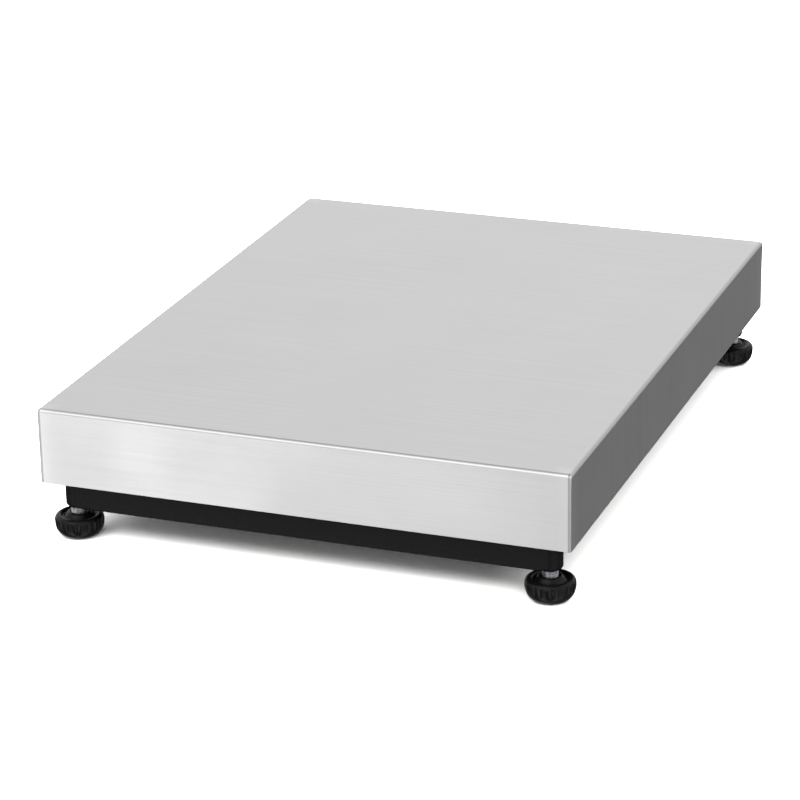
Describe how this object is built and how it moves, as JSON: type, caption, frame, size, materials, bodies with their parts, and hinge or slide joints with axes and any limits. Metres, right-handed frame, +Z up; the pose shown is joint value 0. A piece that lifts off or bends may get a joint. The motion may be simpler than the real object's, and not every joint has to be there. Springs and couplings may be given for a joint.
{
  "type": "animal weighing scale",
  "caption": "Low rectangular platform scale for small animals: brushed stainless lift-off pan over a black tubular frame on levelling screw feet.",
  "frame": {"origin": "on the floor, under the middle of the pan", "axes": "+X to the right along the short side, +Y to the rear along the long side, +Z up"},
  "size_m": [0.42, 0.5504, 0.106],
  "materials": {
    "stainless_pan": "brushed stainless sheet, grain along X on the top",
    "frame_paint": "black powder coat, satin",
    "knob_plastic": "black moulded nylon, fine texture",
    "zinc_stud": "bright zinc plate on a rolled thread",
    "sole_rubber": "black moulded rubber",
    "pad_rubber": "black moulded rubber",
    "cell_aluminium": "clear anodised, milled",
    "cell_sealant": "white potting silicone",
    "nickel_plate": "nickel plate on brass",
    "zinc_plate": "zinc-plated steel",
    "zinc_fasteners": "zinc-plated steel",
    "plug_plastic": "black moulded polyethylene",
    "level_plastic": "black moulded acrylic",
    "level_liquid": "yellow-green spirit",
    "level_glass": "clear window",
    "insert_plastic": "black moulded insulator",
    "contact_brass": "gold-flashed brass",
    "boot_rubber": "black moulded rubber",
    "lead_pvc": "dark grey PVC jacket",
    "clip_nylon": "black nylon"
  },
  "bodies": {
    "base": {"base_front_tube": "frame_paint", "base_rear_tube": "frame_paint", "base_left_tube": "frame_paint", "base_right_tube": "frame_paint", "base_mid_tube": "frame_paint", "corner_post_front_left": "frame_paint", "corner_post_front_right": "frame_paint", "corner_post_rear_left": "frame_paint", "corner_post_rear_right": "frame_paint", "load_cell": "cell_aluminium", "load_cell_seals": "cell_sealant", "load_cell_gland": "nickel_plate", "lower_spacer": "zinc_plate", "lower_cell_screws": "zinc_fasteners", "lower_cell_washers": "zinc_fasteners", "stop_screws": "zinc_fasteners", "stop_lock_nuts": "zinc_fasteners", "stop_weld_nuts": "zinc_fasteners", "level_bracket": "zinc_plate", "level_bracket_screws": "zinc_fasteners", "level_housing": "level_plastic", "level_fluid": "level_liquid", "level_window": "level_glass", "level_screws": "zinc_fasteners", "socket_shell": "nickel_plate", "socket_insert": "insert_plastic", "socket_contacts": "contact_brass", "socket_nut": "nickel_plate", "lead_boot": "boot_rubber", "load_cell_lead": "lead_pvc", "lead_clips": "clip_nylon", "lead_clip_screws": "zinc_fasteners"},
    "weigh_frame": {"upper_spacer": "zinc_plate", "upper_cell_screws": "zinc_fasteners", "upper_cell_washers": "zinc_fasteners", "weigh_front_tube": "frame_paint", "weigh_rear_tube": "frame_paint", "weigh_left_tube": "frame_paint", "weigh_right_tube": "frame_paint", "weigh_mid_tube": "frame_paint", "weigh_end_plugs": "plug_plastic", "pan_pad_front_left": "pad_rubber", "pan_pad_front_right": "pad_rubber", "pan_pad_rear_left": "pad_rubber", "pan_pad_rear_right": "pad_rubber", "pan_pad_left": "pad_rubber", "pan_pad_right": "pad_rubber"},
    "pan": {"pan": "stainless_pan"},
    "foot_sole_front_left": {"foot_sole_front_left": "sole_rubber"},
    "foot_front_left": {"foot_knob_front_left": "knob_plastic", "foot_stud_front_left": "zinc_stud"},
    "foot_sole_front_right": {"foot_sole_front_right": "sole_rubber"},
    "foot_front_right": {"foot_knob_front_right": "knob_plastic", "foot_stud_front_right": "zinc_stud"},
    "foot_sole_rear_left": {"foot_sole_rear_left": "sole_rubber"},
    "foot_rear_left": {"foot_knob_rear_left": "knob_plastic", "foot_stud_rear_left": "zinc_stud"},
    "foot_sole_rear_right": {"foot_sole_rear_right": "sole_rubber"},
    "foot_rear_right": {"foot_knob_rear_right": "knob_plastic", "foot_stud_rear_right": "zinc_stud"}
  },
  "joints": [
    {"name": "weighing_travel", "type": "slide", "parent": "base", "child": "weigh_frame", "axis": [0, 0, -1], "range_m": [0, 0.0005], "stiffness_N_per_m": 3000000, "deforming": ["load_cell"]},
    {"name": "pan_lift", "type": "slide", "parent": "weigh_frame", "child": "pan", "axis": [0, 0, 1], "range_m": [0, 0.1]},
    {"name": "foot_height_front_left", "type": "slide", "parent": "base", "child": "foot_sole_front_left", "axis": [0, 0, 1], "range_m": [-0.014, 0.00438]},
    {"name": "foot_turn_front_left", "type": "hinge", "parent": "foot_sole_front_left", "child": "foot_front_left", "pos_m": [-0.1885, -0.2563, 0], "axis": [0, 0, 1], "range_deg": [-2890, 910]},
    {"name": "foot_height_front_right", "type": "slide", "parent": "base", "child": "foot_sole_front_right", "axis": [0, 0, 1], "range_m": [-0.014, 0.00438]},
    {"name": "foot_turn_front_right", "type": "hinge", "parent": "foot_sole_front_right", "child": "foot_front_right", "pos_m": [0.1885, -0.2563, 0], "axis": [0, 0, 1], "range_deg": [-2890, 910]},
    {"name": "foot_height_rear_left", "type": "slide", "parent": "base", "child": "foot_sole_rear_left", "axis": [0, 0, 1], "range_m": [-0.014, 0.00438]},
    {"name": "foot_turn_rear_left", "type": "hinge", "parent": "foot_sole_rear_left", "child": "foot_rear_left", "pos_m": [-0.1885, 0.2563, 0], "axis": [0, 0, 1], "range_deg": [-2890, 910]},
    {"name": "foot_height_rear_right", "type": "slide", "parent": "base", "child": "foot_sole_rear_right", "axis": [0, 0, 1], "range_m": [-0.014, 0.00438]},
    {"name": "foot_turn_rear_right", "type": "hinge", "parent": "foot_sole_rear_right", "child": "foot_rear_right", "pos_m": [0.1885, 0.2563, 0], "axis": [0, 0, 1], "range_deg": [-2890, 910]}
  ],
  "couplings": [
    {"joint": "foot_turn_front_left", "follows": "foot_height_front_left", "rad_per_m": 3590.4},
    {"joint": "foot_turn_front_right", "follows": "foot_height_front_right", "rad_per_m": 3590.4},
    {"joint": "foot_turn_rear_left", "follows": "foot_height_rear_left", "rad_per_m": 3590.4},
    {"joint": "foot_turn_rear_right", "follows": "foot_height_rear_right", "rad_per_m": 3590.4}
  ]
}
